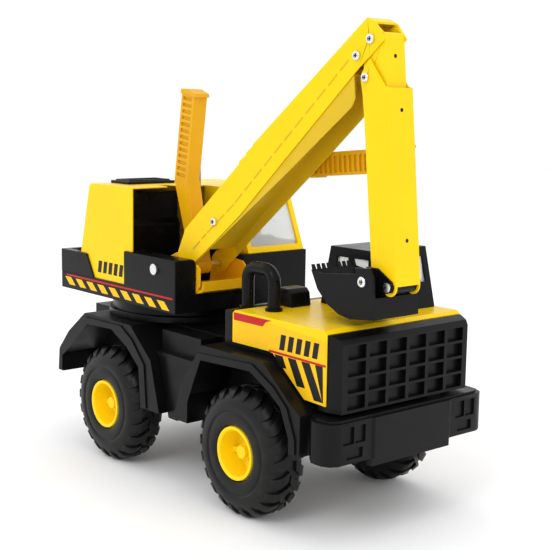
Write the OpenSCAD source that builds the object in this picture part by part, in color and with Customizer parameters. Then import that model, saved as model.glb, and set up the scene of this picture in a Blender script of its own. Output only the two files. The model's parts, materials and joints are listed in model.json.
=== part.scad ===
// Toy excavator truck: a four-wheeled chassis with a slewing house, boom, stick and bucket.
// The model is drawn with x = 0 midway between the axles, +X towards the grille, +Y to the
// left and z = 0 on the ground; in_frame() then centres its length on the origin.

/* [Wheels] */
// Outer radius of a tyre
tyre_r = 60; // [58:0.5:61]
// Width of a tyre across its shoulders
tyre_w = 40; // [36:1:42]
// Distance between the two axles
wheelbase = 217.6; // [214:0.2:220]
// Distance across the outer shoulders of a pair of tyres
track_w = 210; // [208:1:214]
// Radius of an axle rod
axle_r = 3; // [3:0.5:5]
// Radial clearance of a wheel on its axle and of every other running fit
run_gap = 0.05; // [0.02:0.01:0.1]

/* [Chassis] */
// Width across the fenders
fender_w = 200; // [196:1:204]
// Height of the flat chassis deck that carries the turntable
deck_z = 150; // [149:0.5:150.5]
// Height of the hood's top
hood_z = 186; // [184:0.5:187]
// Width of the hood
hood_w = 170; // [164:1:172]
// Front face of the grille block
grille_x = 221; // [219:0.5:223]
// Front face of the bumper
bumper_x = 230.4; // [228:0.2:232]

/* [House] */
// Position of the slewing axis
slew_x = -105; // [-106:0.5:-104]
// Width of the slewing house
house_w = 172; // [168:1:174]
// Underside of the house platform
house_z = 168; // [167:0.5:169]
// Height of the house roof
roof_z = 287; // [284:0.5:290]
// Radius of the turntable ring
ring_r = 80; // [70:1:84]

/* [Arm] */
// Height of the boom pivot
boom_pivot_z = 209; // [208:0.5:210]
// Sideways position of the middle of the arm
arm_y = -30.5; // [-31:0.1:-30]
// Half the width of the boom at its foot
boom_foot_half = 27.2; // [26.5:0.1:27.4]
// Half the width of the boom at its end
boom_end_half = 13.4; // [13.4:0.1:13.6]
// Half the width of the stick's outer channel
stick_half = 14.5; // [14.4:0.1:14.8]
// Thickness of the pressed sheet metal
sheet = 1.4; // [1.2:0.1:1.5]

/* [Hidden] */
$fn = 64;
front_axle_x = wheelbase / 2;
rear_axle_x = -wheelbase / 2;
axle_z = tyre_r;
mid_x = 10.95;
half_track = track_w / 2;
half_fender = fender_w / 2;
half_hood = hood_w / 2;
half_house = house_w / 2;
wall = 3;
skin = 2;
body_gap = 0.3;
slab_top = 186;
box_top = 221;
box_front = -8;
box_rear = -99;
house_rear = -225;
boom_pivot = [-42, boom_pivot_z];
stick_pivot = [208.6, 426.8];
ear_bolt = [204.7, 395.4];
bucket_pivot = [238.7, 223.5];
bolt_r = 3;

// ---- Helpers -------------------------------------------------------------------------

// Moves the drawing so that the middle of its length is at x = 0
module in_frame() {
  translate([-mid_x, 0, 0]) children();
}

// A box between two opposite corners
module block(low, high) {
  translate(low) cube(high - low);
}

// A plate whose side view is the outline, between two y positions
module side_plate(outline, y0, y1) {
  translate([0, y1, 0]) rotate([90, 0, 0]) linear_extrude(y1 - y0) polygon(outline);
}

// A plate whose top view is the outline, between two heights
module top_plate(outline, z0, z1) {
  translate([0, 0, z0]) linear_extrude(z1 - z0) polygon(outline);
}

// A rod along y at a place given in side view
module rod_y(place, r, y0, y1) {
  translate([place[0], y1, place[1]]) rotate([90, 0, 0]) cylinder(r = r, h = y1 - y0);
}

// A rod along x
module rod_x(y, z, r, x0, x1) {
  translate([x0, y, z]) rotate([0, 90, 0]) cylinder(r = r, h = x1 - x0);
}

// Both sides of a symmetric piece
module both_sides() {
  children();
  mirror([0, 1, 0]) children();
}

// ---- Wheels --------------------------------------------------------------------------
// A wheel is drawn on the z axis with its outer shoulder plane at z = 0

drum_r = tyre_r / 2;
rim_r = 24.7;
boss_r = 9;
rim_drop = 1;
bead_drop = 4;

module tyre() {
  shoulder = 7;
  flesh = 5;
  rotate_extrude($fn = 96)
    difference() {
      polygon([[rim_r + 0.8, -2], [drum_r, 0], [tyre_r - shoulder - 3, 0],
        [tyre_r - 3, -3], [tyre_r, -shoulder - 1], [tyre_r, shoulder + 1 - tyre_w],
        [tyre_r - 3, 3 - tyre_w], [tyre_r - shoulder - 3, -tyre_w], [drum_r, -tyre_w],
        [drum_r, -bead_drop], [rim_r + 0.8, -bead_drop]]);
      polygon([[drum_r + flesh, -flesh], [tyre_r - shoulder - 4, -flesh],
        [tyre_r - flesh, -shoulder - 3], [tyre_r - flesh, shoulder + 3 - tyre_w],
        [tyre_r - shoulder - 4, flesh - tyre_w], [drum_r + flesh, flesh - tyre_w]]);
    }
}

module hub() {
  dish_z = -22;
  disc_t = 4;
  boss_z = -13;
  difference() {
    union() {
      rotate_extrude($fn = 96)
        polygon([[rim_r - 2.5, -rim_drop], [rim_r + 0.6, -rim_drop], [rim_r + 0.6, -bead_drop],
          [drum_r, -bead_drop], [drum_r, 1 - tyre_w], [drum_r - 3, 1 - tyre_w],
          [drum_r - 3, dish_z - disc_t], [boss_r, dish_z - disc_t], [boss_r, 1 - tyre_w],
          [0, 1 - tyre_w], [0, boss_z], [boss_r, boss_z], [boss_r + 1, dish_z],
          [rim_r - 5.5, dish_z]]);
      for (turn = [0 : 60 : 300])
        rotate(turn) block([boss_r - 1, -1.2, dish_z - 0.5], [rim_r - 4.8, 1.2, dish_z + 6]);
    }
    translate([0, 0, -2 * tyre_w]) cylinder(r = axle_r + run_gap, h = 3 * tyre_w);
  }
}

// Puts a wheel part at one corner; side is -1 on the right and 1 on the left
module at_wheel(x, side) {
  translate([x, side * half_track, axle_z]) rotate([-90 * side, 0, 0]) children();
}

module axle(x) {
  reach = half_track - 10;
  color("silver") rod_y([x, axle_z], axle_r, -reach, reach);
}

module axle_caps() {
  color("gold")
    both_sides()
      for (x = [rear_axle_x, front_axle_x])
        difference() {
          rod_y([x, axle_z], 6, 9 - half_track, 13 - half_track - body_gap);
          rod_y([x, axle_z], axle_r, 10 - half_track, 20 - half_track);
        }
}

// ---- Chassis -------------------------------------------------------------------------

spine_half = 57;

module chassis_tub() {
  side = [[-200, 88], [-200, deck_z], [196, deck_z], [196, 88], [134, 84], [126, 48],
    [92, 48], [84, 70], [-84, 70], [-92, 48], [-126, 48], [-134, 84]];
  color([0.15, 0.15, 0.16])
    difference() {
      union() {
        both_sides() side_plate(side, -spine_half, wall - spine_half);
        block([-200, -spine_half, deck_z - wall], [196, spine_half, deck_z]);
        for (x = [-200, -40, 30, 193])
          block([x, -spine_half, 88], [x + wall, spine_half, deck_z]);
        both_sides() step_box();
        for (x = [rear_axle_x, front_axle_x])
          both_sides() rod_y([x, axle_z], 9, -spine_half - 5, wall - spine_half);
      }
      for (x = [rear_axle_x, front_axle_x])
        rod_y([x, axle_z], axle_r + run_gap, -half_track, half_track);
      translate([slew_x, 0, deck_z - 2 * wall]) cylinder(r = 8 + run_gap, h = 4 * wall);
    }
}

// The stepped box between the wheels on the right side
module step_box() {
  outer = 90;
  low = [[-13, 64], [-29, 122], [-36, 128], [30, 128], [22, 112], [8, 72], [2, 64]];
  inner = [[-11, 67], [-26, 121], [-32, 125], [26, 125], [19, 112], [6, 74], [1, 67]];
  difference() {
    union() {
      side_plate(low, -outer, 1 - spine_half);
      block([-35, 8 - outer, 127], [29, 1 - spine_half, deck_z - 1]);
    }
    side_plate(inner, wall - outer, -wall - spine_half);
    block([-31, 8 + wall - outer, 131], [25, -wall - spine_half, deck_z - 1 - wall]);
  }
}

module turntable_ring() {
  color([0.13, 0.13, 0.14])
    translate([slew_x, 0, deck_z])
      rotate_extrude($fn = 128)
        difference() {
          polygon([[8.5, 0], [ring_r + 4, 0], [ring_r + 4, 7], [ring_r, 7],
            [ring_r, house_z - deck_z - body_gap], [8.5, house_z - deck_z - body_gap]]);
          polygon([[14, wall], [ring_r - wall, wall], [ring_r - wall, 14], [14, 14]]);
        }
}

module slew_rivet() {
  foot = deck_z - wall;
  color("silver")
    translate([slew_x, 0, 0]) {
      translate([0, 0, foot]) cylinder(r = 8, h = house_z + wall + body_gap - foot);
      translate([0, 0, house_z + wall + body_gap]) cylinder(r = 13, h = 3);
      translate([0, 0, foot - 3]) cylinder(r = 13, h = 3);
    }
}

rear_outline = [[-209, 78], [-207, 103], [-187, 125], [-153, deck_z], [-66, deck_z],
  [-30, 120], [-15, 69], [-45, 69], [-49, 100], [-199, 100], [-199, 78]];
front_outline = [[9, 70], [24, 112], [54, deck_z], [142, deck_z], [178, 121], [192, 112],
  [192, 76], [180, 76], [178, 100], [34, 100], [32, 70]];

// One fender: a faceted arch over the wheel with a raised lip round its opening
module fender(outline, arch, lip) {
  color([0.15, 0.15, 0.16]) {
    difference() {
      side_plate(outline, -half_fender, -spine_half);
      side_plate(arch, -half_fender - 1, -spine_half + 1);
    }
    difference() {
      side_plate(lip, -half_fender - 1.5, -half_fender);
      side_plate(arch, -half_fender - 3, -half_fender + 1);
    }
  }
}

module fender_rear() {
  arch = [[-200, 60], [-199, 96], [-172, 116], [-146, 139], [-99, 141], [-70, 127],
    [-49, 110], [-44.5, 60]];
  lip = [[-207, 79], [-205, 101], [-184, 121], [-151, 146], [-82, 147], [-62, 136],
    [-40, 114], [-36, 70], [-44, 69], [-200, 79]];
  fender(rear_outline, arch, lip);
}

module fender_front() {
  arch = [[33, 60], [34, 92], [54, 136], [126, 139], [152, 126], [168, 115], [179, 90],
    [180, 60]];
  lip = [[24, 71], [26, 92], [48, 142], [128, 146], [158, 131], [176, 116], [187, 90],
    [187, 77], [180, 76], [34, 71]];
  fender(front_outline, arch, lip);
}

// Bumper outline from above: its middle stands forward and its ends wrap round in facets
module front_bumper() {
  back = 196;
  raise = bumper_x - 1.8;
  plan = [[back, -92], [206, -99.5], [218, -99.5], [225, -96], [raise, -89], [raise, -51],
    [bumper_x, -48], [bumper_x, 48], [raise, 51], [raise, 89], [225, 96], [218, 99.5],
    [206, 99.5], [back, 92]];
  color([0.15, 0.15, 0.16])
    difference() {
      union() {
        top_plate(plan, 75, 111);
        top_plate([[back, -90], [208, -96], [222, -94], [226, -86], [226, 86], [222, 94],
          [208, 96], [back, 90]], 111, 113);
        block([back, -50, 68], [bumper_x - 1.5, 50, 75]);
      }
      block([back - 1, -86, 60], [bumper_x - 8, 86, 106]);
      both_sides() {
        block([raise - 2.2, -84, 92], [bumper_x + 1, -71.5, 107]);
        block([raise - 2.2, -70, 92], [bumper_x + 1, -58, 107]);
        block([raise - 2.2, -80, 79], [bumper_x + 1, -61, 88]);
      }
    }
}

// The radiator block: chamfered corners, a sloping top and a grid of recesses
module grille_block() {
  columns = 6;
  rows = 4;
  low = 116;
  half_low = 79.7;
  half_side = 83.3;
  pitch_y = 25;
  pitch_z = 14.4;
  color([0.15, 0.15, 0.16])
    difference() {
      intersection() {
        top_plate([[196, -half_side], [208.5, -half_side], [grille_x, -half_low],
          [grille_x, half_low], [208.5, half_side], [196, half_side]], low - 1, hood_z);
        side_plate([[196, low], [grille_x, low], [grille_x, 175], [grille_x - 3, 179.5],
          [209.5, 182.5], [207.6, 182.5], [206.5, 180.5], [196, 180.5]], -90, 90);
      }
      for (column = [0 : columns - 1], row = [0 : rows - 1])
        translate([grille_x - 5, (column - (columns - 1) / 2) * pitch_y - 10.5,
          low + 2.6 + row * pitch_z])
          cube([10, 21, 12]);
      block([190, -half_low + 6, low - 1], [grille_x - 12, half_low - 6, 171]);
    }
}

// The black wall behind the hood and the tray that the hood sits over
module hood_bulkhead() {
  half = half_hood - 5;
  color([0.14, 0.14, 0.15])
    difference() {
      union() {
        block([63, -half, deck_z], [80.5, half, 183]);
        block([80.5, -half, deck_z], [195.7, half, 158]);
      }
      block([66, wall - half, deck_z - 1], [77.5, half - wall, 180]);
      block([77, 8 - half, deck_z - 1], [192, half - 8, 160]);
    }
}

// The yellow hood: a top plate with a rounded front edge and two side skirts
module hood() {
  rear = 81;
  front = 203;
  top = hood_z;
  skirt = [[rear, 156], [rear, top - 3], [rear + 3, top], [front, top], [front + 4, top - 3],
    [front + 4, 121], [180, 122], [137, 156]];
  plate = [[rear, top - 6], [rear, top - 3], [rear + 3, top], [front, top], [front + 4, top - 3],
    [front + 3.2, top - 4.2], [front - 0.6, top - sheet], [rear + 3.6, top - sheet],
    [rear + sheet, top - 3.6], [rear + sheet, top - 6]];
  color("gold") {
    both_sides() side_plate(skirt, -half_hood, sheet - half_hood);
    side_plate(plate, sheet - half_hood, half_hood - sheet);
  }
}

// The cab on the hood: a hollow shell with window openings
cab_right = 6;
cab_left = 80;
cab_base = hood_z;
cab_roof = 242.5;

function cab_side(inset) = [[101 + inset, cab_base], [113.6 + inset, cab_roof - inset],
  [166 - inset, cab_roof - inset], [180 - inset, cab_base]];

module truck_cab() {
  window_low = 210;
  window_high = 233.5;
  color([0.15, 0.15, 0.16])
    difference() {
      side_plate(cab_side(0), cab_right, cab_left);
      side_plate(cab_side(skin), cab_right + skin, cab_left - skin);
      for (span = [[121.5, 137], [143.5, 163]])
        side_plate([[span[0], window_low], [span[0] + 1, window_high], [span[1], window_high],
          [span[1] + 1, window_low]], cab_right - 1, cab_left + 1);
      block([150, cab_right + 7, window_low], [190, cab_left - 7, window_high]);
      block([95, cab_right + 14, window_low], [130, cab_left - 14, window_high]);
    }
}

module truck_cab_windows() {
  color([0.8, 0.9, 0.95, 0.4])
    difference() {
      side_plate(cab_side(skin), cab_right + skin, cab_left - skin);
      side_plate(cab_side(skin + 1), cab_right + skin + 1, cab_left - skin - 1);
    }
}

// The black tube rail on the hood: two legs, two elbows and a top bar
module grab_rail() {
  rail_r = 6;
  bend = 12;
  rail_y = -58.5;
  foot_z = [183, hood_z];
  foot_x = [70.5, 108];
  top = 229;
  color([0.13, 0.13, 0.14])
    translate([0, rail_y, 0]) {
      for (end = [0, 1])
        translate([foot_x[end], 0, foot_z[end]])
          cylinder(r = rail_r, h = top - rail_r - bend - foot_z[end]);
      for (end = [0, 1])
        translate([foot_x[end] + (end == 0 ? bend : -bend), 0, top - rail_r - bend])
          rotate([90, 0, 0])
            rotate([0, 0, end == 0 ? 90 : 0])
              rotate_extrude(angle = 90) translate([bend, 0]) circle(r = rail_r);
      rod_x(0, top - rail_r, rail_r, foot_x[0] + bend, foot_x[1] - bend);
      for (end = [0, 1])
        translate([foot_x[end], 0, foot_z[end]]) cylinder(r = rail_r + 2, h = 2.5);
    }
}

// The low box on the hood beside the cab, with sloping ends
module deck_box() {
  color([0.13, 0.13, 0.14])
    side_plate([[83, hood_z], [83, 199], [86, 203], [101, 203], [105, 199], [107, hood_z]],
      -36, -11);
}

// ---- House ---------------------------------------------------------------------------

notch_right = -60.5;
notch_left = -0.8;

module house_platform() {
  color([0.14, 0.14, 0.15])
    difference() {
      union() {
        block([house_rear, -half_house, house_z], [box_front, half_house, slab_top]);
        block([box_rear, -half_house, slab_top], [box_front, notch_right, box_top - 5]);
        side_box_top(-half_house, notch_right);
        block([box_rear, notch_left, slab_top], [box_front, half_house, box_top]);
      }
      block([house_rear + wall, wall - half_house, house_z + wall],
        [box_front - wall, half_house - wall, slab_top - wall]);
      block([box_rear + wall, wall - half_house, slab_top - 2 * wall],
        [box_front - wall, notch_right - wall, box_top - 5 - wall]);
      block([box_rear + wall, notch_left + wall, slab_top - 2 * wall],
        [box_front - wall, half_house - wall, box_top - wall]);
      translate([slew_x, 0, house_z - 1]) cylinder(r = 8 + run_gap, h = wall + 2);
      rod_y(boom_pivot, bolt_r + run_gap, -half_house - 1, half_house + 1);
    }
}

// The top of a side box, with its long edges rounded off
module side_box_top(y0, y1) {
  edge = 5;
  translate([box_rear, 0, 0]) rotate([90, 0, 90]) linear_extrude(box_front - box_rear)
    polygon([[y0, box_top - edge], [y0, box_top], [y1 - edge, box_top],
      [y1 - edge * 0.3, box_top - edge * 0.3], [y1, box_top - edge]]);
}

// The counterweight: a heavy block with an arm along each side
module counterweight() {
  top = 211;
  color([0.14, 0.14, 0.15]) {
    difference() {
      block([house_rear, -half_house, slab_top], [-194, half_house, top]);
      block([house_rear + 8, 8 - half_house, top - 4], [-190, half_house - 8, top + 1]);
    }
    both_sides()
      side_plate([[-194, slab_top], [-194, top], [-172, top], [-157.5, slab_top]],
        -half_house, skin - half_house);
  }
}

house_side = [[-192, slab_top], [-186, 214], [-168.5, roof_z - 3], [-165, roof_z], [-86, roof_z],
  [-86, box_top + 0.2], [box_rear - 0.3, box_top + 0.2], [box_rear - 0.3, slab_top]];
lever_slot_front = -86;
lever_slot_rear = -112;
lever_width = 16;
lever_y = arm_y;

module engine_housing() {
  half = half_house - skin - 0.2;
  rear = [[-192, slab_top], [-186, 214], [-168.5, roof_z - 3], [-165, roof_z], [-86, roof_z],
    [-86, roof_z - sheet], [-164.4, roof_z - sheet], [-167.2, roof_z - 3.6],
    [-184.5, 214], [-190.4, slab_top]];
  color("gold") {
    both_sides() side_plate(house_side, -half, sheet - half);
    difference() {
      side_plate(rear, sheet - half, half - sheet);
      block([lever_slot_rear, lever_y - lever_width / 2 - 1, roof_z - 10],
        [lever_slot_front + 1, lever_y + lever_width / 2 + 1, roof_z + 10]);
    }
  }
}

module roof_hatch() {
  color([0.14, 0.14, 0.15])
    difference() {
      union() {
        block([-162, -61, roof_z], [-127, -1, roof_z + 3]);
        block([-158, -57, roof_z + 3], [-131, -5, roof_z + 4.5]);
      }
      block([-155, -54, roof_z + 2], [-134, -8, roof_z + 5]);
    }
}

// The engine block behind the lever's cavity
module engine_block() {
  color([0.12, 0.12, 0.13])
    difference() {
      side_plate([[-183, slab_top], [-176, 214], [-163, 278], [-128, 278], [-128, 250], [-124, 244],
        [-124, slab_top]], -78, 4);
      side_plate([[-178, slab_top + 4], [-172, 214], [-160, 274], [-133, 274],
        [-133, slab_top + 4]], -74, 0);
    }
}

// The operator's cab: the left front corner of the house
cab_wall_y = 8;
cab_front = [[-86, box_top], [-86, roof_z], [-40, roof_z], [-36, roof_z - 3], [-10, box_top]];

module operator_cab() {
  outer = half_house - skin - 0.2;
  opening = [[-80, box_top + 8], [-80, roof_z - 7], [-45, roof_z - 7], [-18, box_top + 8]];
  color("gold")
    difference() {
      side_plate(cab_front, cab_wall_y, outer);
      side_plate([[-90, box_top - 1], [-90, roof_z - sheet], [-41, roof_z - sheet],
        [-38, roof_z - 4], [-12.5, box_top - 1]], cab_wall_y + sheet, outer - sheet);
      side_plate(opening, cab_wall_y + 1, outer + 1);
      side_plate([[-62, box_top + 8], [-62, roof_z - 7], [-45, roof_z - 7], [-18, box_top + 8]],
        cab_wall_y - 1, cab_wall_y + 5);
      block([-60, cab_wall_y + 6, box_top + 6], [0, outer - 6, roof_z - 8]);
    }
}

module operator_cab_windows() {
  outer = half_house - skin - 0.2 - sheet;
  color([0.8, 0.9, 0.95, 0.4])
    difference() {
      side_plate([[-84, box_top], [-84, roof_z - sheet], [-41.2, roof_z - sheet],
        [-38.3, roof_z - 4.2], [-13.2, box_top]], cab_wall_y + sheet, outer);
      side_plate([[-85, box_top - 1], [-85, roof_z - sheet - 1], [-41.7, roof_z - sheet - 1],
        [-39.3, roof_z - 4.8], [-14.3, box_top - 1]], cab_wall_y + sheet + 1, outer - 1);
    }
}

// The seat and the lever console in front of it
module operator_seat() {
  color([0.2, 0.2, 0.21]) {
    block([-76, 30, box_top], [-42, 62, box_top + 12]);
    side_plate([[-76, box_top + 12], [-82, box_top + 44], [-74, box_top + 46], [-66, box_top + 12]],
      32, 60);
    side_plate([[-36, box_top], [-30, box_top + 16], [-25, box_top + 14], [-22, box_top]], 36, 56);
  }
}

// The exhaust: a straight pipe with a mitred mouth, on a foot ring
module exhaust_stack() {
  top = 321;
  pipe_r = 4.5;
  color([0.12, 0.12, 0.13])
    translate([-80, -7, 0])
      difference() {
        union() {
          translate([0, 0, slab_top]) cylinder(r = pipe_r, h = top - slab_top);
          translate([0, 0, slab_top]) cylinder(r = pipe_r + 1.5, h = 6);
        }
        translate([0, 0, top - 30]) cylinder(r = pipe_r - 1.5, h = 40);
        translate([0, 0, top - 3]) rotate([0, 40, 0]) block([-20, -20, 0], [20, 20, 30]);
      }
}

// The yellow bracket that the boom's foot turns in
module boom_bracket() {
  half = boom_foot_half + sheet + 0.8;
  ear = 15;
  color([0.95, 0.65, 0.1])
    translate([0, arm_y, 0])
      difference() {
        union() {
          both_sides()
            side_plate([[-62, slab_top], [-58, 214], [-42 - ear * 0.7, 209 + ear * 0.7],
              [-42, 209 + ear], [-30, 217], [box_front + 0.5, 215], [box_front + 5, 211],
              [box_front + 5, 194], [box_front - 2, slab_top]], -half, sheet - half);
          side_plate([[-62, slab_top], [-62, slab_top + 2], [-10, slab_top + 2], [-2, 191],
            [0, 199], [2, 199], [0.5, 189], [-8, slab_top]], sheet - half, half - sheet);
        }
        rod_y(boom_pivot, bolt_r + run_gap, -60, 60);
      }
}

module boom_axle() {
  color("silver") {
    rod_y(boom_pivot, bolt_r, -half_house - 0.5, half_house + 0.5);
    both_sides() rod_y(boom_pivot, 5.5, -half_house - 2.5, -half_house - 0.2);
  }
}

// ---- Boom ----------------------------------------------------------------------------
// Keeps what lies between the boom's tapering sides, less a margin all round
module boom_width(margin) {
  foot = boom_foot_half - margin;
  end = boom_end_half - margin;
  tip = stick_pivot[0];
  intersection() {
    children();
    translate([0, arm_y, 150]) linear_extrude(340)
      polygon([[-70, -foot], [boom_pivot[0], -foot], [tip, -end], [260, -end],
        [260, end], [tip, end], [boom_pivot[0], foot], [-70, foot]]);
  }
}

upper_side = [[-52, 211], [-44.4, 220.5], [-31.2, 248.8], [47.3, 316.5], [48.3, 319.8],
  [56.9, 325.5], [57.9, 328.4], [65.3, 333.4], [67.3, 336.3], [203.8, 444.5], [213.8, 439.6],
  [224.7, 426.8], [207.5, 412.6], [195.5, 403.1], [115.5, 329.6], [50, 269], [10, 237],
  [-34, 202.5], [-43, 198.7], [-50, 203]];
upper_hollow = [[-80, 150], [-80, 300], [-31.5, 300], [-31.5, 246.6], [47.3, 314.6],
  [67, 332.5], [203.5, 442.6], [211, 439], [211, 470], [280, 470], [280, 150]];

module boom_upper_channel() {
  color("gold")
    difference() {
      boom_width(0) side_plate(upper_side, -120, 60);
      boom_width(sheet) side_plate(upper_hollow, -121, 61);
      rod_y(boom_pivot, bolt_r + run_gap, -120, 60);
      rod_y(stick_pivot, bolt_r, -120, 60);
    }
}

module boom_lower_channel() {
  nest = sheet + 0.1;
  outline = [[-9.4, 221.4], [112.7, 313.2], [187, 370.8], [191, 378], [189, 398],
    [183, 403.5], [115.5, 341.6], [50, 281], [10, 249], [-12, 231]];
  hollow = [[-30, 150], [-30, 218], [-13, 227.5], [10, 246.8], [50, 278.8], [115.5, 339.4],
    [182.5, 401], [187.5, 396.8], [200, 396.8], [240, 150]];
  color([0.95, 0.8, 0.1])
    difference() {
      boom_width(nest) side_plate(outline, -120, 60);
      boom_width(nest + sheet) side_plate(hollow, -121, 61);
    }
}

// Bolt heads on both sides of the boom: one near the foot and one behind the stick pivot
module boom_bolts() {
  color("silver")
    translate([0, arm_y, 0])
      both_sides() {
        rod_y([13.5, 259.4], 4, -26.4, -24.4);
        rod_y([193.6, 413.5], 4, -16.3, -14.4);
      }
}

// A moulded hand lever in side view: the grip runs up from the bend and the arm runs down.
// It is drawn from the bend with finger slots in its -Y face.
grip_depth = 21.5;

function turned(x, z) = [x * cos(24) - z * sin(24), x * sin(24) + z * cos(24)];

module hand_lever(grip_len, arm_len, foot_depth) {
  pitch = 6.5;
  half = grip_depth / 2;
  side_y = lever_width / 2;
  difference() {
    union() {
      side_plate([[-half, -3], [-half, grip_len], [half, grip_len], [half, 2],
        turned(foot_depth / 2, -arm_len), turned(-foot_depth / 2, -arm_len)], -side_y, side_y);
      side_plate([[-half - 1.2, grip_len - 1], [-half - 1, grip_len + 3.5],
        [0, grip_len + 4.5], [half + 2, grip_len + 1.5], [half + 2.5, grip_len - 2]],
        -side_y - 1, side_y + 1);
    }
    for (slot = [0 : floor(grip_len / pitch) - 1])
      translate([2.8 - half, -side_y - 1, 3 + slot * pitch])
        cube([15, 3, 3.4]);
  }
}

module boom_lever() {
  color("gold")
    difference() {
      union() {
        translate([-64.5, lever_y, 295.2]) rotate([0, 8, 0]) hand_lever(88, 86, 14);
        rod_y(boom_pivot, 9, lever_y - 9, lever_y + 9);
      }
      rod_y(boom_pivot, bolt_r + run_gap, -120, 60);
    }
}

// ---- Stick ---------------------------------------------------------------------------

module stick_pivot_bolt() {
  reach = boom_end_half + 0.2;
  color("silver")
    translate([0, arm_y, 0]) {
      rod_y(stick_pivot, bolt_r, -reach, reach);
      both_sides() rod_y(stick_pivot, 4.2, -reach - 2, -reach);
    }
}

outer_side = [[201.1, 381.7], [198.6, 393], [199.4, 399], [204, 405.5], [209.1, 410.3],
  [226.9, 388.5], [231, 387.3], [246.9, 224.5], [245, 219.5], [238.7, 217], [233, 219.5],
  [230, 232], [217.7, 230.3], [204, 360.9]];
outer_hollow = [[150, 150], [150, 430], [260, 430], [260, 387.3], [229.6, 387.3],
  [245.5, 224.5], [260, 224.5], [260, 150]];

module stick_outer_channel() {
  color("gold")
    difference() {
      union() {
        translate([0, arm_y, 0]) side_plate(outer_side, -stick_half, stick_half);
        translate([0, arm_y, 0]) rod_y(bucket_pivot, 8, -stick_half, stick_half);
      }
      translate([0, arm_y, 0]) side_plate(outer_hollow, sheet - stick_half, stick_half - sheet);
      rod_y(ear_bolt, 2.5, -120, 60);
      rod_y(bucket_pivot, bolt_r, -120, 60);
    }
}

// The narrower channel inside it, whose top turns on the stick pivot
module stick_inner_channel() {
  half = boom_end_half - sheet - 0.3;
  outline = [[222, 430.8], [239.3, 258], [226, 258], [212, 350], [206, 380], [199, 400],
    [198.5, 424], [201.5, 433], [208, 437], [216, 435.8]];
  hollow = [[150, 150], [150, 470], [212, 470], [220.6, 430.6], [237.9, 258], [238, 150]];
  color([0.95, 0.78, 0.1])
    difference() {
      translate([0, arm_y, 0]) side_plate(outline, -half, half);
      translate([0, arm_y, 0]) side_plate(hollow, sheet - half, half - sheet);
      rod_y(stick_pivot, bolt_r + run_gap, -120, 60);
      rod_y(ear_bolt, 2.5, -120, 60);
    }
}

module stick_lever() {
  color("gold") {
    translate([176.3, -1, 324]) rotate([0, -95, 0]) hand_lever(74, 42, 15);
    side_plate([[206, 334], [203, 345], [210, 354], [224, 352], [226, 339], [217, 332]],
      arm_y + stick_half, -8);
  }
}

// The bolt through the stick's ears, with a head on each side
module stick_screws() {
  reach = stick_half;
  color("silver")
    translate([0, arm_y, 0]) {
      rod_y(ear_bolt, 2.5, -reach, reach);
      both_sides() rod_y(ear_bolt, 4, -reach - 2, -reach);
    }
}

// ---- Bucket --------------------------------------------------------------------------

bucket_half = 27;
bucket_side = [[156, 229.8], [170, 227.9], [210.8, 232.4], [210.1, 237.6], [227.5, 238.9],
  [232, 231.2], [234.4, 196.2], [205.8, 192.8], [191.4, 195.3], [176.5, 202.5], [164.6, 213.5]];
bucket_floor = [[156, 229.8], [164.6, 213.5], [176.5, 202.5], [191.4, 195.3], [205.8, 192.8],
  [234.4, 196.2], [233.2, 214.2], [231.2, 214.2], [232.3, 198.2], [206, 194.9], [192.2, 197.3],
  [177.8, 204.2], [166.3, 214.9], [158.3, 230.2]];

module bucket() {
  color([0.15, 0.15, 0.15])
    translate([0, arm_y, 0]) {
      both_sides() side_plate(bucket_side, -bucket_half, skin - bucket_half);
      side_plate(bucket_floor, skin - bucket_half, bucket_half - skin);
      both_sides()
        for (tooth = [0 : 3])
          side_plate([[156.3, 229.3], [154.9, 234.2], [156.2, 234.5], [159, 229.6]],
            6 * tooth - 26, 6 * tooth - 23);
    }
}

// The bracket inside the bucket: a block between the stick's plates and a cheek outside each
module bucket_bracket() {
  half = 12.5;
  cheek_in = stick_half + 0.3;
  cheek_out = cheek_in + 1.6;
  body = [[212, 200], [232.1, 200], [231.2, 214.2], [238.7, 217.5], [242, 222], [242, 227],
    [238.7, 229.5], [226, 236], [214, 236]];
  cheek = [[212, 200], [232.1, 200], [231.2, 214.2], [236, 218.1], [243.2, 219.5], [244.6, 224],
    [242.6, 228.2], [226, 238], [213, 238]];
  color([0.13, 0.13, 0.13])
    translate([0, arm_y, 0])
      difference() {
        union() {
          side_plate(body, -half, half);
          rod_y(bucket_pivot, 6, -half, half);
          both_sides() side_plate(cheek, -cheek_out, -cheek_in);
          block([212, -cheek_out, 199.6], [232.1, cheek_out, 201.5]);
        }
        rod_y(bucket_pivot, bolt_r + run_gap, -60, 60);
      }
}

module bucket_pivot_bolt() {
  reach = stick_half + 2.1;
  color("silver")
    translate([0, arm_y, 0]) {
      rod_y(bucket_pivot, bolt_r, -reach, reach);
      both_sides() rod_y(bucket_pivot, 4, -reach - 1.8, -reach);
    }
}

module bucket_screws() {
  color("silver")
    translate([0, arm_y, 0])
      both_sides() rod_y([219.6, 226.7], 4.5, -bucket_half - 1.6, -bucket_half);
}

// ---- Nodes ---------------------------------------------------------------------------

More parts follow.
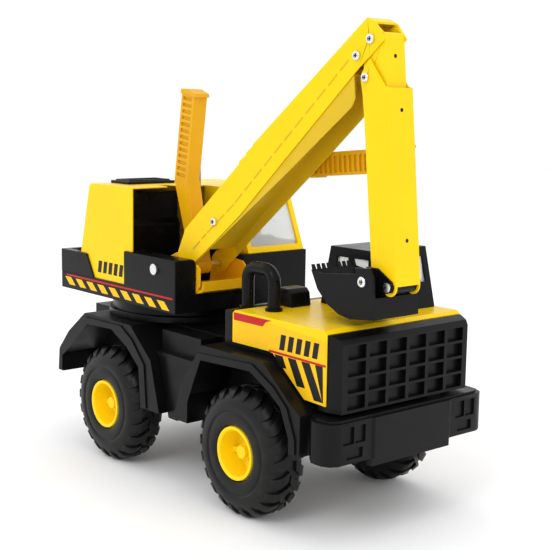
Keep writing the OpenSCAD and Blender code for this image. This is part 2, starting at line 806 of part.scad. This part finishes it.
in_frame() chassis_tub();
in_frame() turntable_ring();
in_frame() slew_rivet();
in_frame() fender_front();  // fender_front_right
in_frame() mirror([0, 1, 0]) fender_front();  // fender_front_left
in_frame() fender_rear();  // fender_rear_right
in_frame() mirror([0, 1, 0]) fender_rear();  // fender_rear_left
in_frame() front_bumper();
in_frame() grille_block();
in_frame() hood_bulkhead();
in_frame() hood();
in_frame() truck_cab();
in_frame() truck_cab_windows();
in_frame() grab_rail();
in_frame() deck_box();
in_frame() axle(front_axle_x);  // front_axle
in_frame() axle(rear_axle_x);  // rear_axle
in_frame() axle_caps();
in_frame() color([0.2, 0.2, 0.2]) at_wheel(front_axle_x, -1) tyre();  // tyre_front_right
in_frame() color([0.2, 0.2, 0.2]) at_wheel(front_axle_x, 1) tyre();  // tyre_front_left
in_frame() color([0.2, 0.2, 0.2]) at_wheel(rear_axle_x, -1) tyre();  // tyre_rear_right
in_frame() color([0.2, 0.2, 0.2]) at_wheel(rear_axle_x, 1) tyre();  // tyre_rear_left
in_frame() color("gold") at_wheel(front_axle_x, -1) hub();  // hub_front_right
in_frame() color("gold") at_wheel(front_axle_x, 1) hub();  // hub_front_left
in_frame() color("gold") at_wheel(rear_axle_x, -1) hub();  // hub_rear_right
in_frame() color("gold") at_wheel(rear_axle_x, 1) hub();  // hub_rear_left
in_frame() house_platform();
in_frame() counterweight();
in_frame() engine_housing();
in_frame() roof_hatch();
in_frame() engine_block();
in_frame() operator_cab();
in_frame() operator_cab_windows();
in_frame() operator_seat();
in_frame() exhaust_stack();
in_frame() boom_bracket();
in_frame() boom_axle();
in_frame() boom_upper_channel();
in_frame() boom_lower_channel();
in_frame() boom_bolts();
in_frame() boom_lever();
in_frame() stick_pivot_bolt();
in_frame() stick_outer_channel();
in_frame() stick_inner_channel();
in_frame() stick_lever();
in_frame() stick_screws();
in_frame() bucket_pivot_bolt();
in_frame() bucket();
in_frame() bucket_bracket();
in_frame() bucket_screws();
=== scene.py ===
import bpy
import json
import math
from mathutils import Matrix, Vector


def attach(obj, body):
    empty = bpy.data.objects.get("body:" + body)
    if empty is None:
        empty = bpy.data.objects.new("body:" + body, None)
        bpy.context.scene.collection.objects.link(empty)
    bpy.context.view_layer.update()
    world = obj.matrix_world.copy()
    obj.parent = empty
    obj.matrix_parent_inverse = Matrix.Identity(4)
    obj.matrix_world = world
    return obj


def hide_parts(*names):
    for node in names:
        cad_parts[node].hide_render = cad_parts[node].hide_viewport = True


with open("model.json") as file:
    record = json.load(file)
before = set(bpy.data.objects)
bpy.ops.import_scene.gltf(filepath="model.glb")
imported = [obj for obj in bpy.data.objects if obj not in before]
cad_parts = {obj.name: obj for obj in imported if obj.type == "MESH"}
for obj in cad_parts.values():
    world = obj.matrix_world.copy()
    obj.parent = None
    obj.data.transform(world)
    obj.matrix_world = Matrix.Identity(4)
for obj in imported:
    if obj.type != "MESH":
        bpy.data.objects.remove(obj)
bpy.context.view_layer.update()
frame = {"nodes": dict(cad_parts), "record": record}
NODES = frame["nodes"]

# Lengths are millimetres, with x = 0 midway between the axles. The floor, the lights, the
# camera's clip and the grain's depth are in metres.
FRAME_MID = 10.95
ARM_Y = -30.5
METRE = 1000


def place(x, y, z):
    """A point in the row frame, in metres."""
    return Vector(((x - FRAME_MID) / METRE, y / METRE, z / METRE))


# ---- Materials -----------------------------------------------------------------------

# Each pattern is a noise's scale and detail, and the two values of it where its ends lie.
TONE_PATTERN = (28, 4, 0.35, 0.65)
DUST_PATTERN = (90, 8, 0.52, 0.74)
GLOSS_PATTERN = (60, 6, 0.3, 0.7)
GRAIN_DETAIL = 3
GRAIN_DEPTH = 0.0004
DUST_COLOR = (0.5, 0.48, 0.44)
# A finish's roughness is multiplied by these in its glossiest and its dullest places.
GLOSSIER, DULLER = 0.82, 1.2
COAT_ROUGH = 0.12


def surface(name, color, rough, metallic=0.0, coat=0.0, vary=0.06, bump=0.1, grain=400.0,
            dust=0.0, alpha=1.0, specular=0.2):
    """A procedural finish: a mottled colour, an uneven gloss and a fine grain."""
    mat = bpy.data.materials.new(name)
    mat.use_nodes = True
    nt = mat.node_tree
    bsdf = nt.nodes["Principled BSDF"]
    coord = nt.nodes.new("ShaderNodeTexCoord")

    def noise(scale, detail):
        n = nt.nodes.new("ShaderNodeTexNoise")
        n.inputs["Scale"].default_value = scale
        n.inputs["Detail"].default_value = detail
        nt.links.new(coord.outputs["Object"], n.inputs["Vector"])
        return n.outputs["Fac"]

    def ramp(pattern, a, b):
        scale, detail, low, high = pattern
        source = noise(scale, detail)
        r = nt.nodes.new("ShaderNodeValToRGB")
        r.color_ramp.elements[0].position = low
        r.color_ramp.elements[1].position = high
        r.color_ramp.elements[0].color = (*a, 1)
        r.color_ramp.elements[1].color = (*b, 1)
        nt.links.new(source, r.inputs["Fac"])
        return r.outputs["Color"]

    dark = tuple(c * (1 - vary) for c in color)
    light = tuple(min(1.0, c * (1 + vary)) for c in color)
    tone = ramp(TONE_PATTERN, dark, light)
    if dust:
        mask = ramp(DUST_PATTERN, (0, 0, 0), (dust, dust, dust))
        mix = nt.nodes.new("ShaderNodeMix")
        mix.data_type = "RGBA"
        nt.links.new(mask, mix.inputs["Factor"])
        nt.links.new(tone, mix.inputs["A"])
        mix.inputs["B"].default_value = (*DUST_COLOR, 1)
        tone = mix.outputs["Result"]
    nt.links.new(tone, bsdf.inputs["Base Color"])
    gloss = ramp(GLOSS_PATTERN, (rough * GLOSSIER,) * 3, (min(1, rough * DULLER),) * 3)
    nt.links.new(gloss, bsdf.inputs["Roughness"])
    bsdf.inputs["Metallic"].default_value = metallic
    bsdf.inputs["Coat Weight"].default_value = coat
    bsdf.inputs["Coat Roughness"].default_value = COAT_ROUGH
    bsdf.inputs["Alpha"].default_value = alpha
    bsdf.inputs["Specular IOR Level"].default_value = specular
    if bump:
        b = nt.nodes.new("ShaderNodeBump")
        b.inputs["Strength"].default_value = bump
        b.inputs["Distance"].default_value = GRAIN_DEPTH
        nt.links.new(noise(grain, GRAIN_DETAIL), b.inputs["Height"])
        nt.links.new(b.outputs["Normal"], bsdf.inputs["Normal"])
    return mat


STEEL_YELLOW = surface("enamel_yellow", (0.91, 0.6, 0.003), 0.3, coat=0.06, vary=0.02,
                       bump=0.04, grain=180, specular=0.12)
# Deeper orange yellow for the orange_steel parts: painted shade, standing for the orange shading
# seen inside the boom's bracket.
SHADED_ORANGE = surface("enamel_orange", (0.9, 0.47, 0.006), 0.33, coat=0.08, vary=0.03, bump=0.04)
HUB_YELLOW = surface("hub_yellow", (0.95, 0.66, 0.004), 0.36, vary=0.02, bump=0.05)
LEVER_YELLOW = surface("lever_yellow", (0.72, 0.37, 0.002), 0.4, vary=0.03, bump=0.06)
# Olive: painted shade for the boom's lower channel, which lies in shadow under the upper channel,
# and for the shadow in the boom's pressed seam.
SHADED_OLIVE = surface("enamel_olive", (0.66, 0.44, 0.012), 0.36, coat=0.05, vary=0.04, bump=0.04)
BLACK = surface("moulded_black", (0.004, 0.004, 0.0044), 0.28, vary=0.2, bump=0.12, grain=900,
                specular=0.13)
BLACK_ROUGH = surface("moulded_black_rough", (0.004, 0.004, 0.0044), 0.34, vary=0.2, bump=0.2,
                      grain=700, specular=0.14)
TYRE = surface("tyre_black", (0.0055, 0.0055, 0.0053), 0.4, vary=0.25, bump=0.25, grain=800,
               dust=0.012)
STEEL = surface("zinc_steel", (0.75, 0.75, 0.76), 0.25, metallic=1.0, vary=0.05, bump=0.05)
PANE = surface("clear_pane", (0.86, 0.9, 0.92), 0.08, vary=0.02, bump=0.0, alpha=0.32,
               specular=0.5)

# A sticker's material has the name of its slot.
STICKER_YELLOW = surface("sticker_yellow", (0.92, 0.52, 0.01), 0.4, vary=0.03, bump=0.02,
                         specular=0.12)
STICKER_RED = surface("sticker_red", (0.5, 0.01, 0.012), 0.4, vary=0.04, bump=0.02)
STICKER_BLACK = surface("sticker_black", (0.008, 0.008, 0.008), 0.4, vary=0.1, bump=0.02)

SLOT_MATERIAL = {
    "yellow_steel": STEEL_YELLOW, "orange_steel": SHADED_ORANGE, "yellow_plastic": LEVER_YELLOW,
    "black_plastic": BLACK, "tyre_black": TYRE, "steel": STEEL, "clear_window": PANE,
}
ROUGH_NODES = ("chassis_tub", "fender_front_right", "fender_front_left", "fender_rear_right",
               "fender_rear_left", "front_bumper", "grille_block", "turntable_ring")
# The boom's lower channel takes the olive painted shade.
NODE_MATERIAL = {"axle_caps": HUB_YELLOW, "boom_lower_channel": SHADED_OLIVE}
NODE_MATERIAL.update({name: BLACK_ROUGH for name in ROUGH_NODES})

# ---- Rounded edges -------------------------------------------------------------------

WELD_REACH = 0.004
SHARP_ANGLE = 30
PLAIN_EDGE = 0.35
EDGE = {
    "chassis_tub": 1.2, "fender_front_right": 1.0, "fender_front_left": 1.0,
    "fender_rear_right": 1.0, "fender_rear_left": 1.0, "front_bumper": 1.4, "grille_block": 0.9,
    "hood": 0.45, "hood_bulkhead": 1.2, "truck_cab": 0.7, "deck_box": 1.5, "house_platform": 1.2,
    "counterweight": 0.6, "engine_housing": 0.45, "roof_hatch": 0.8, "engine_block": 1.5,
    "operator_cab": 0.45, "operator_seat": 1.5, "boom_bracket": 0.4, "boom_upper_channel": 0.5,
    "boom_lower_channel": 0.45, "boom_lever": 0.6, "stick_outer_channel": 0.45,
    "stick_inner_channel": 0.4, "stick_lever": 0.6, "bucket": 0.5, "bucket_bracket": 0.6,
    "turntable_ring": 0.8, "exhaust_stack": 0.5,
}


def soften(obj, width):
    """Rounds an object's sharp edges by width millimetres."""
    weld = obj.modifiers.new("weld", "WELD")
    weld.merge_threshold = WELD_REACH / METRE
    bevel = obj.modifiers.new("bevel", "BEVEL")
    bevel.width = width / METRE
    bevel.segments = 2
    bevel.limit_method = "ANGLE"
    bevel.angle_limit = math.radians(SHARP_ANGLE)
    even = obj.modifiers.new("normals", "WEIGHTED_NORMAL")
    even.keep_sharp = True
    for p in obj.data.polygons:
        p.use_smooth = True


def dress_nodes():
    """Gives every CAD node its finish and its edges."""
    for sub in frame["record"]["subparts"]:
        node = NODES[sub["node"]]
        node.data.materials.clear()
        finish = SLOT_MATERIAL[sub["material_slot"]]
        node.data.materials.append(NODE_MATERIAL.get(sub["node"], finish))
        soften(node, EDGE.get(sub["node"], PLAIN_EDGE))


dress_nodes()

# ---- Mesh helpers --------------------------------------------------------------------


def piece(name, verts, faces, body, slot, mat, edge=0.0):
    """A mesh from millimetre coordinates, riding on a body."""
    mesh = bpy.data.meshes.new(name)
    mesh.from_pydata([place(*v) for v in verts], [], faces)
    mesh.update()
    mesh.materials.append(mat)
    obj = bpy.data.objects.new(name, mesh)
    bpy.context.scene.collection.objects.link(obj)
    if edge:
        soften(obj, edge)
    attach(obj, body)
    return obj


def merged(parts):
    """One (verts, faces) pair from several."""
    verts, faces = [], []
    for v, f in parts:
        base = len(verts)
        verts += v
        faces += [tuple(i + base for i in face) for face in f]
    return verts, faces


def prism(outline, low, high, axis):
    """The outline drawn in the other two axes, in x, y, z order, and run from low to high."""
    area = sum(a[0] * b[1] - b[0] * a[1] for a, b in zip(outline, outline[1:] + outline[:1]))
    if (area < 0) != (axis == "y"):
        outline = outline[::-1]
    n = len(outline)

    def at(p, t):
        return {"x": (t, p[0], p[1]), "y": (p[0], t, p[1])}[axis]

    verts = [at(p, low) for p in outline] + [at(p, high) for p in outline]
    faces = [tuple(range(n))[::-1], tuple(range(n, 2 * n))]
    faces += [(i, (i + 1) % n, n + (i + 1) % n, n + i) for i in range(n)]
    return verts, faces


def around(centre, side, r, depth, angle):
    """A point at a radius and an angle about a line along y, depth inward from the centre."""
    return (centre[0] + r * math.cos(angle), centre[1] - side * depth,
            centre[2] + r * math.sin(angle))


def lathe(profile, centre, side, steps):
    """A closed profile of (radius, depth inward) points turned about a line along y."""
    verts, faces = [], []
    n = len(profile)
    for s in range(steps):
        verts += [around(centre, side, r, d, 2 * math.pi * s / steps) for r, d in profile]
    for s in range(steps):
        t = (s + 1) % steps
        for i in range(n):
            j = (i + 1) % n
            quad = (s * n + i, s * n + j, t * n + j, t * n + i)
            faces.append(quad if side > 0 else quad[::-1])
    return verts, faces


# ---- Wheels --------------------------------------------------------------------------

AXLE_X = 108.8
AXLE_Z = 60.0
WHEEL_FACE = 105.0
TYRE_WIDTH = 40.0
TYRE_EDGE = 0.7
HUB_EDGE = 0.5
TYRE_STEPS = 96
HUB_STEPS = 72

# Profiles are (radius, depth inward) points from the wheel's outer face. The carcass is the
# sidewall, most of the same mirrored, and the seat on the hub.
BEAD_R = 25.3
SEAT_R = 30.3
LIP_DEPTH = 4.2
SIDEWALL = [(BEAD_R, 3), (26.5, 1.2), (29, 0.3), (33, 0.1), (36.6, 0.5), (37.6, 1.4), (39, 1.4),
            (40, 0.5), (44, 0.6), (48.5, 1.8), (52.5, 4.2), (55.6, 8), (57, 13)]
SEAT = [(SEAT_R, 39.4), (SEAT_R, LIP_DEPTH), (BEAD_R, LIP_DEPTH)]

# A lug is a bar through these stations, from the sidewall to just past the middle of the tread.
# Angles are radians: half its width, and how far it leans round the tyre.
LUGS = 22
LUG_CREST = [(50.8, 2.2), (54.4, 3.6), (57.3, 5.8), (59.3, 8.8), (60, 12), (60, 16.5), (60, 21.5)]
LUG_ROOT = [(49.6, 3.4), (52.2, 5.4), (54.4, 8), (55.8, 10.4), (56.4, 13), (56.6, 16.5),
            (56.6, 21.5)]
LUG_HALF = [0.05, 0.07, 0.085, 0.09, 0.088, 0.078, 0.06]
LUG_LEAN = [0.0, 0.0, 0.01, 0.03, 0.07, 0.13, 0.21]

RIM = [(24.7, 0.7), (24.9, 4.0), (30, 4.2), (30, 38.6), (27.5, 38.6), (27, 24), (9, 24),
       (9, 38.6), (3.4, 38.6), (3.4, 13), (6.8, 13), (7.4, 13.8), (8.2, 20.5), (17.8, 20.5),
       (19.6, 14), (20.6, 5), (21.3, 1.5), (22.6, 0.5)]
SPOKES = 4
SPOKE_TURN = 0.15
SPOKE = [(6.6, -2.2), (20.2, -2.6), (20.2, 2.6), (6.6, 2.2)]
SPOKE_FRONT, SPOKE_BACK = 15.2, 20.7


def mirrored(profile):
    """The same profile on the tyre's inner half."""
    return [(r, TYRE_WIDTH - d) for r, d in profile]


def lug(centre, side, row, k):
    """The lug at place k in the outer row (0) or the inner row (1)."""
    crest = mirrored(LUG_CREST) if row else LUG_CREST
    root = mirrored(LUG_ROOT) if row else LUG_ROOT
    middle = 2 * math.pi * (k + 0.5 * row) / LUGS
    # Every other lug stops one station short.
    count = len(LUG_CREST) - k % 2
    verts, faces = [], []
    for i in range(count):
        a0 = middle + LUG_LEAN[i] - LUG_HALF[i]
        a1 = middle + LUG_LEAN[i] + LUG_HALF[i]
        for angle, (r, d) in ((a0, crest[i]), (a1, crest[i]), (a1, root[i]), (a0, root[i])):
            verts.append(around(centre, side, r, d, angle))
    for i in range(count - 1):
        for j in range(4):
            faces.append((4 * i + j, 4 * i + (j + 1) % 4, 4 * i + 4 + (j + 1) % 4, 4 * i + 4 + j))
    end = 4 * (count - 1)
    caps = [(3, 2, 1, 0), (end, end + 1, end + 2, end + 3)]
    if (side > 0) != (row == 1):
        return verts, faces + caps
    return verts, [face[::-1] for face in faces + caps]


def tyre(centre, side):
    """A chunky carcass with two rows of lugs that wrap on to the sidewalls."""
    carcass = SIDEWALL + mirrored(SIDEWALL[:2:-1]) + SEAT
    parts = [lathe(carcass, centre, side, TYRE_STEPS)]
    parts += [lug(centre, side, row, k) for row in (0, 1) for k in range(LUGS)]
    return merged(parts)


def hub(centre, side):
    """A moulded rim with a deep dish, its spokes and a bossed centre."""
    parts = [lathe(RIM, centre, side, HUB_STEPS)]
    lo, hi = sorted((centre[1] - side * SPOKE_FRONT, centre[1] - side * SPOKE_BACK))
    for k in range(SPOKES):
        a = 2 * math.pi * k / SPOKES + SPOKE_TURN
        turned = [(centre[0] + p * math.cos(a) - q * math.sin(a),
                   centre[2] + p * math.sin(a) + q * math.cos(a)) for p, q in SPOKE]
        parts.append(prism(turned, lo, hi, "y"))
    return merged(parts)


def wheel(spot, x, hand, side):
    """Puts a lugged tyre and a spoked hub in place of the CAD's own."""
    centre = (x, side * WHEEL_FACE, AXLE_Z)
    body = f"wheel_{spot}_{hand}"
    t = piece(f"lugged_tyre_{spot}_{hand}", *tyre(centre, side), body, "tyre_black", TYRE,
              TYRE_EDGE)
    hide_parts(f"tyre_{spot}_{hand}")
    h = piece(f"spoked_hub_{spot}_{hand}", *hub(centre, side), body, "yellow_plastic",
              HUB_YELLOW, HUB_EDGE)
    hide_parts(f"hub_{spot}_{hand}")


for spot, x in (("front", AXLE_X), ("rear", -AXLE_X)):
    for hand, side in (("right", -1), ("left", 1)):
        wheel(spot, x, hand, side)

# ---- Stickers ------------------------------------------------------------------------

# How far each side's skin is from the middle.
BAND_SKIN = 86.0
HOUSE_SKIN = 83.8
HOOD_SKIN = 85.0

# How far film stands off its skin, back and front. Print lies over a ground or a strip.
FILM = (0.02, 0.25)
STRIP = (0.02, 0.22)
GROUND = (0.02, 0.12)
PRINT = (0.13, 0.3)

BAND_REAR, BAND_FRONT = -213, -12
HOOD_REAR, HOOD_NOSE = 83, 206.4
LINE_START = 133

# The four black bars on the hood hang from one line and lean forward as they drop. They end near
# the ground's slanted lower edge, on a cut from the line, and stop short of the hood's nose.
BARS_TOP, BARS_FOOT = 155.0, 124.0
BARS_START, BARS_PITCH, BARS_WIDTH = 141, 17.5, 10.5
BARS_LEAN = 17.0
BARS_FRONT = 203
FOOT_REAR_LIMIT, FOOT_FRONT_LIMIT = 203.4, 204.2
CUT_START, CUT_SLOPE, CUT_SHARE = 137, 0.72, 0.6


def film(name, outlines, side, skin, mat, body, off=FILM):
    """Flat film on a side face, standing off its skin."""
    lo, hi = sorted((side * (skin + off[0]), side * (skin + off[1])))
    shapes = [prism(outline, lo, hi, "y") for outline in outlines]
    piece(name, *merged(shapes), body, mat.name, mat)


def slanted(x, z, width, height, lean):
    """A parallelogram with its foot at x, z."""
    return [(x, z), (x + width, z), (x + width + lean, z + height), (x + lean, z + height)]


def house_band(side):
    """A red line over a row of slanted yellow bars."""
    line = [(BAND_REAR, 182.2), (BAND_REAR, 184), (BAND_FRONT, 183.6), (BAND_FRONT, 181.8)]
    film(f"band_line_{side}", [line], side, BAND_SKIN, STICKER_RED, "house")
    bars = [slanted(-207 + 22.2 * k, 172.6 - 0.3 * k, 12.2, 8.4, -9.5) for k in range(9)]
    film(f"band_bars_{side}", bars, side, BAND_SKIN, STICKER_YELLOW, "house")


def hood_bar(k):
    """The outline of black bar k, counted from the rear."""
    x0 = BARS_START + BARS_PITCH * k
    x1 = min(x0 + BARS_WIDTH, BARS_FRONT)
    low = max(BARS_FOOT, BARS_TOP - (x0 + BARS_LEAN * CUT_SHARE - CUT_START) * CUT_SLOPE)
    drop = (BARS_TOP - low) / (BARS_TOP - BARS_FOOT) * BARS_LEAN
    return [(x0, BARS_TOP), (x1, BARS_TOP), (min(FOOT_FRONT_LIMIT, x1 + drop), low),
            (min(FOOT_REAR_LIMIT, x0 + drop), low)]


def hood_stickers(side):
    """The hood's panel, flag, line, barred ground and row of marks."""
    panel = [(HOOD_REAR, 158), (HOOD_REAR, 176), (124, 176), (129, 181.5), (HOOD_NOSE, 176.5),
             (HOOD_NOSE, 157), (130, 158)]
    film(f"hood_panel_{side}", [panel], side, HOOD_SKIN, STICKER_YELLOW, "chassis", STRIP)
    flag = [(HOOD_REAR, 177), (HOOD_REAR, 184), (136, 184), (128, 181.5), (124, 177)]
    film(f"hood_flag_{side}", [flag], side, HOOD_SKIN, STICKER_RED, "chassis", STRIP)
    line = [(LINE_START, 156), (LINE_START, 158), (HOOD_NOSE, 157), (HOOD_NOSE, 155)]
    film(f"hood_line_{side}", [line], side, HOOD_SKIN, STICKER_RED, "chassis", STRIP)
    ground = [(138.5, 155.2), (133.8, 155.9), (HOOD_NOSE, 154.9), (HOOD_NOSE, 122.5), (180.6, 123)]
    film(f"hood_ground_{side}", [ground], side, HOOD_SKIN, STICKER_YELLOW, "chassis", GROUND)
    bars = [hood_bar(k) for k in range(4)]
    film(f"hood_bars_{side}", bars, side, HOOD_SKIN, STICKER_BLACK, "chassis", PRINT)
    marks = [slanted(147 + 10.6 * k, 160.2, 6.6, 13.8, 2.4) for k in range(5)]
    film(f"hood_marks_{side}", marks, side, HOOD_SKIN, STICKER_BLACK, "chassis", PRINT)


def house_marks(side):
    """A row of slanted black marks over the band."""
    marks = [slanted(-152 + 10.2 * k, 193.0, 6.4, 12.5, 2.2) for k in range(5)]
    film(f"house_marks_{side}", marks, side, HOUSE_SKIN, STICKER_BLACK, "house")


for side in (-1, 1):
    house_band(side)
    hood_stickers(side)
    house_marks(side)

# ---- Pressed lines, holes and screws on the arm, darkened with painted shade -----------

# The boom tapers evenly between these two: x, and half its width there.
BOOM_FOOT = (-42.0, 27.3)
BOOM_END = (208.65, 13.4)

# The dashes raised along this line carry painted shade: their olive stands for the shadow in the
# pressed seam.
BOOM_LINE = [(-20, 228.5), (1.4, 246.8), (41.4, 278.8), (106.7, 339.2), (186.7, 412.6)]
LINE_HALF = 0.65
LINE_PROUD = 0.4
LINE_SUNK = 0.3
DASH, DASH_GAP, SHORTEST_DASH = 13, 5, 6
DASH_FIRST, DASH_LAST = 2.0, 1

# Each hole is a black disc of painted shade, sunk a little into the stick's front face.
HOLE_SPOTS = ((223.85, 413.0), (232.85, 369.1), (243.35, 262.0))
HOLE_R = 1.7
HOLE_SUNK, HOLE_PROUD = 1.0, 0.12
HOLE_STEPS = 12

# The black cross on each head is painted shade, standing for the dark of the cross recess.
# A cross's two bars, as shares of the head's radius: half their length and half their width. One
# stands a little prouder than the other, so that their outer faces don't coincide.
CROSS_ARM, CROSS_HALF = 0.42, 0.12
CROSS_GAP = 0.02
CROSS_PROUD, CROSS_UNDER = 0.3, 0.29
SCREW_STEPS = 24

# Each bolt head's x, z, distance from the arm's middle plane, and radius.
SCREW_HEADS = {
    "boom": ((13.5, 259.4, 26.4, 4.0), (193.6, 413.5, 16.3, 4.0), (208.6, 426.8, 15.6, 4.2)),
    "stick": ((204.7, 395.4, 16.5, 4.0),),
    "bucket": ((219.6, 226.7, 28.6, 4.5),),
}


def boom_half(x):
    """Half the boom's width at x."""
    t = min(1.0, max(0.0, (x - BOOM_FOOT[0]) / (BOOM_END[0] - BOOM_FOOT[0])))
    return BOOM_FOOT[1] + (BOOM_END[1] - BOOM_FOOT[1]) * t


def pressed(outline, side):
    """A thin raised shape on a side of the boom."""
    n = len(outline)
    verts = []
    for lift in (-LINE_SUNK, LINE_PROUD):
        verts += [(x, ARM_Y + side * (boom_half(x) + lift), z) for x, z in outline]
    faces = [tuple(range(n)), tuple(range(n, 2 * n))[::-1]]
    faces += [(i, n + i, n + (i + 1) % n, (i + 1) % n) for i in range(n)]
    return verts, faces if side > 0 else [f[::-1] for f in faces]


def dashes(a, b):
    """The outlines of the dashes from one point of the boom's line to the next."""
    run = math.dist(a, b)
    ux, uz = (b[0] - a[0]) / run, (b[1] - a[1]) / run
    outlines = []
    at = DASH_FIRST
    while at + SHORTEST_DASH < run:
        end = min(at + DASH, run - DASH_LAST)
        p0 = (a[0] + ux * at, a[1] + uz * at)
        p1 = (a[0] + ux * end, a[1] + uz * end)
        outlines.append([(p0[0] + uz * LINE_HALF, p0[1] - ux * LINE_HALF),
                         (p1[0] + uz * LINE_HALF, p1[1] - ux * LINE_HALF),
                         (p1[0] - uz * LINE_HALF, p1[1] + ux * LINE_HALF),
                         (p0[0] - uz * LINE_HALF, p0[1] + ux * LINE_HALF)])
        at = end + DASH_GAP
    return outlines


def boom_lines(side):
    """The dashed line pressed along a side of the boom, in the olive painted shade that stands for
    the seam's shadow.
    """
    parts = [pressed(dash, side) for a, b in zip(BOOM_LINE, BOOM_LINE[1:]) for dash in dashes(a, b)]
    piece(f"boom_line_{side}", *merged(parts), "boom", "yellow_steel", SHADED_OLIVE)


def front_holes():
    """Three small holes down the stick's front face, filled with black painted shade."""
    parts = []
    for x, z in HOLE_SPOTS:
        turns = [2 * math.pi * k / HOLE_STEPS for k in range(HOLE_STEPS)]
        ring = [(ARM_Y + HOLE_R * math.cos(a), z + HOLE_R * math.sin(a)) for a in turns]
        parts.append(prism(ring, x - HOLE_SUNK, x + HOLE_PROUD, "x"))
    piece("stick_front_holes", *merged(parts), "stick", "black_plastic", BLACK)


def crossed_screws(body, heads):
    """A domed rim on each of a body's bolt heads, and a black cross of painted shade standing for
    its recess.
    """
    rims, cross_shades = [], []
    for x, z, reach, r in heads:
        dome = [(r, 0.2), (r, 0.0), (r * 0.86, -0.5), (r * 0.6, -0.75), (r * 0.5, -0.6),
                (r * 0.45, 0.1)]
        arm, half = r * CROSS_ARM, r * CROSS_HALF
        for side in (-1, 1):
            face = ARM_Y + side * reach
            rims.append(lathe(dome, (x, face, z), side, SCREW_STEPS))
            for wide, high, proud in ((arm, half, CROSS_PROUD), (half, arm, CROSS_UNDER)):
                lo, hi = sorted((face + side * CROSS_GAP, face + side * proud))
                cross_shades.append(prism([(x - wide, z - high), (x + wide, z - high),
                                    (x + wide, z + high), (x - wide, z + high)], lo, hi, "y"))
    piece(f"screw_rims_{body}", *merged(rims), body, "steel", STEEL)
    piece(f"screw_crosses_{body}", *merged(cross_shades), body, "black_plastic", BLACK)


for side in (-1, 1):
    boom_lines(side)
front_holes()
for body, heads in SCREW_HEADS.items():
    crossed_screws(body, heads)

# ---- Floor, light and camera ---------------------------------------------------------

FLOOR_HALF = 6.0
WORLD_STRENGTH = 1.035
CAMERA_SPOT = (874.354, -718.354, 368.461)
CAMERA_YAW, CAMERA_PITCH, CAMERA_ROLL = 2.43015, -0.146595, 0.015624
CAMERA_LENS = 73.6357091
CAMERA_SENSOR = 36
CAMERA_CLIP = 0.01


def floor():
    """A white sheet under the wheels."""
    mesh = bpy.data.meshes.new("floor")
    s = FLOOR_HALF
    mesh.from_pydata([(-s, -s, 0), (s, -s, 0), (s, s, 0), (-s, s, 0)], [], [(0, 1, 2, 3)])
    mesh.materials.append(surface("paper", (0.965, 0.965, 0.965), 0.8, vary=0.005, bump=0.0,
                                  specular=0.1))
    obj = bpy.data.objects.new("floor", mesh)
    bpy.context.scene.collection.objects.link(obj)


def area_light(name, spot, target, size, power):
    """A round lamp that faces a target."""
    data = bpy.data.lights.new(name, "AREA")
    data.shape = "DISK"
    data.size = size
    data.energy = power
    obj = bpy.data.objects.new(name, data)
    obj.location = spot
    obj.rotation_euler = (Vector(target) - Vector(spot)).to_track_quat("-Z", "Y").to_euler()
    bpy.context.scene.collection.objects.link(obj)


def white_world():
    """Even white light from all round."""
    world = bpy.data.worlds.new("studio")
    bpy.context.scene.world = world
    world.use_nodes = True
    background = world.node_tree.nodes["Background"]
    background.inputs["Color"].default_value = (1, 1, 1, 1)
    background.inputs["Strength"].default_value = WORLD_STRENGTH


def camera():
    """The camera, turned by its yaw, pitch and roll."""
    flat = math.cos(CAMERA_PITCH)
    ahead = Vector((flat * math.cos(CAMERA_YAW), flat * math.sin(CAMERA_YAW),
                    math.sin(CAMERA_PITCH)))
    level = ahead.cross(Vector((0, 0, 1))).normalized()
    lift = level.cross(ahead)
    right = level * math.cos(CAMERA_ROLL) + lift * math.sin(CAMERA_ROLL)
    up = lift * math.cos(CAMERA_ROLL) - level * math.sin(CAMERA_ROLL)
    data = bpy.data.cameras.new("camera")
    data.lens = CAMERA_LENS
    data.sensor_width = CAMERA_SENSOR
    data.clip_start = CAMERA_CLIP
    cam = bpy.data.objects.new("camera", data)
    turn = Matrix((right, up, -ahead)).transposed().to_4x4()
    cam.matrix_world = Matrix.Translation(place(*CAMERA_SPOT)) @ turn
    bpy.context.scene.collection.objects.link(cam)
    return cam


floor()
area_light("key", (0.9, -2.0, 2.0), (0, 0, 0.15), 1.2, 15)
area_light("fill", (-2.2, -1.2, 1.4), (0, 0, 0.2), 1.6, 4)
area_light("front", (2.4, 0.6, 1.1), (0.1, 0, 0.15), 1.4, 6)
area_light("top", (0, 0.3, 2.6), (0, 0, 0), 1.8, 8)
white_world()
bpy.context.scene.view_settings.view_transform = "Standard"
bpy.context.scene.camera = camera()
